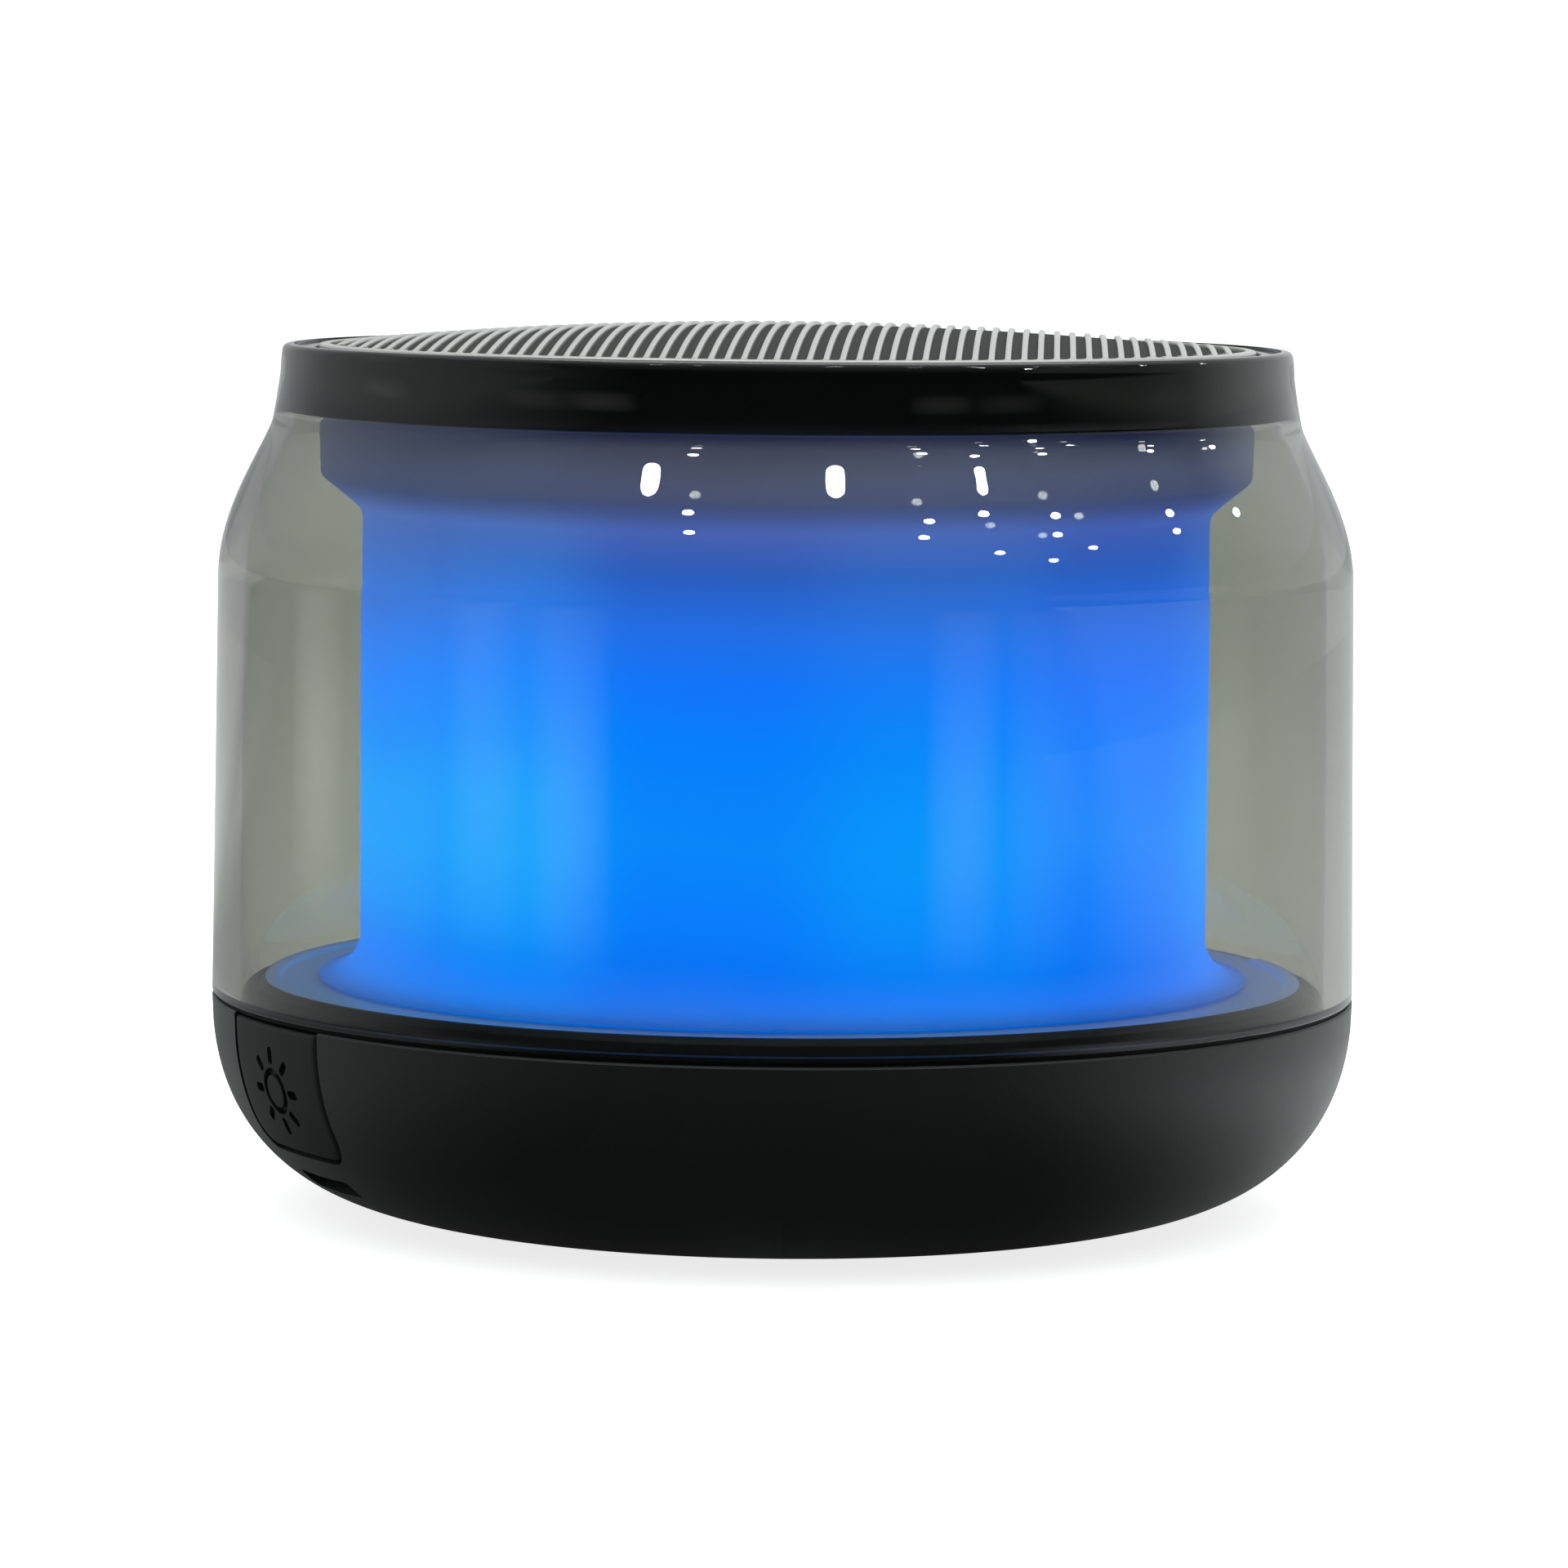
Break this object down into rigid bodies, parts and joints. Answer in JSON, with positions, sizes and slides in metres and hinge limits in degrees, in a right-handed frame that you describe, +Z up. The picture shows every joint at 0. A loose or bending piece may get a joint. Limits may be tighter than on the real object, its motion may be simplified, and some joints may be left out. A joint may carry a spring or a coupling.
{
  "type": "portable bluetooth speaker",
  "caption": "Can-shaped portable speaker: slotted domed top, smoked clear shell round a blue-lit column, bowl-shaped black base with rubber keys.",
  "frame": {"origin": "centre of the foot pad's underside, on the can's axis", "axes": "+Z up along the can's axis; -Y is the front; the light key is at the left front"},
  "size_m": [0.085, 0.085, 0.0659],
  "materials": {
    "chip_black": "moulded",
    "matte_black": "fine satin moulding texture",
    "battery_foil": "laminated pouch",
    "wire_red": "insulation",
    "steel": "plated",
    "smoked_clear": "polished, smoke tinted, clear",
    "amber_cloth": "corrugated, impregnated",
    "gloss_black": "polished",
    "rubber": "matt",
    "dark_steel": "black, satin",
    "cone_paper": "pressed pulp",
    "cloth_black": "fine woven dust cloth",
    "ferrite": "sintered, matt",
    "slate": "satin",
    "led_lens": "phosphor and clear resin",
    "board_green": "solder mask",
    "wire_black": "insulation",
    "frosted_lit": "frosted diffuser, lit blue from inside",
    "white_plastic": "satin",
    "grille_black": "satin",
    "copper": "enamelled wire"
  },
  "bodies": {
    "housing": {"audio_chip": "chip_black", "base_bowl": "matte_black", "battery_cell": "battery_foil", "battery_lead": "wire_red", "bottom_cover": "matte_black", "card_slot": "steel", "charger_chip": "chip_black", "clear_shell": "smoked_clear", "coil_spider": "amber_cloth", "collar_ring": "gloss_black", "cone_surround": "rubber", "cover_screw_1": "steel", "cover_screw_2": "steel", "cover_screw_3": "steel", "cover_screw_4": "steel", "driver_basket": "dark_steel", "driver_gasket": "cloth_black", "driver_magnet": "ferrite", "driver_top_plate": "steel", "driver_yoke": "steel", "dust_cloth": "cloth_black", "floor_disc": "slate", "foot_pad": "rubber", "led_1": "led_lens", "led_2": "led_lens", "led_3": "led_lens", "led_4": "led_lens", "led_5": "led_lens", "led_6": "led_lens", "led_board": "board_green", "led_lead": "wire_black", "light_column": "frosted_lit", "light_key_switch": "chip_black", "main_board": "board_green", "microphone": "steel", "next_key_switch": "chip_black", "play_key_switch": "chip_black", "port_plate": "rubber", "power_key_switch": "chip_black", "previous_key_switch": "chip_black", "speaker_chamber": "white_plastic", "speaker_lead_minus": "wire_black", "speaker_lead_plus": "wire_red", "top_grille": "grille_black", "usb_socket": "steel"},
    "light_key": {"light_key": "rubber", "light_key_plunger": "white_plastic"},
    "previous_key": {"previous_key": "rubber", "previous_key_plunger": "white_plastic"},
    "play_key": {"play_key": "rubber", "play_key_plunger": "white_plastic"},
    "next_key": {"next_key": "rubber", "next_key_plunger": "white_plastic"},
    "power_key": {"power_key": "rubber", "power_key_plunger": "white_plastic"},
    "cone": {"driver_cone": "cone_paper", "dust_cap": "cone_paper", "voice_coil": "copper"}
  },
  "joints": [
    {"name": "light_key_press", "type": "slide", "parent": "housing", "child": "light_key", "axis": [0.8669, 0.4985, 0], "range_m": [0, 0.0004], "stiffness_N_per_m": 800, "springref_m": -0.0015},
    {"name": "previous_key_press", "type": "slide", "parent": "housing", "child": "previous_key", "axis": [0.9943, -0.1063, 0], "range_m": [0, 0.0004], "stiffness_N_per_m": 800, "springref_m": -0.0015},
    {"name": "play_key_press", "type": "slide", "parent": "housing", "child": "play_key", "axis": [0.742, -0.6704, 0], "range_m": [0, 0.0004], "stiffness_N_per_m": 800, "springref_m": -0.0015},
    {"name": "next_key_press", "type": "slide", "parent": "housing", "child": "next_key", "axis": [0.2062, -0.9785, 0], "range_m": [0, 0.0004], "stiffness_N_per_m": 800, "springref_m": -0.0015},
    {"name": "power_key_press", "type": "slide", "parent": "housing", "child": "power_key", "axis": [-0.4083, -0.9128, 0], "range_m": [0, 0.0004], "stiffness_N_per_m": 800, "springref_m": -0.0015},
    {"name": "cone_stroke", "type": "slide", "parent": "housing", "child": "cone", "axis": [0, 0, 1], "range_m": [-0.0008, 0.0008], "stiffness_N_per_m": 1200, "deforming": ["cone_surround", "coil_spider"]}
  ]
}
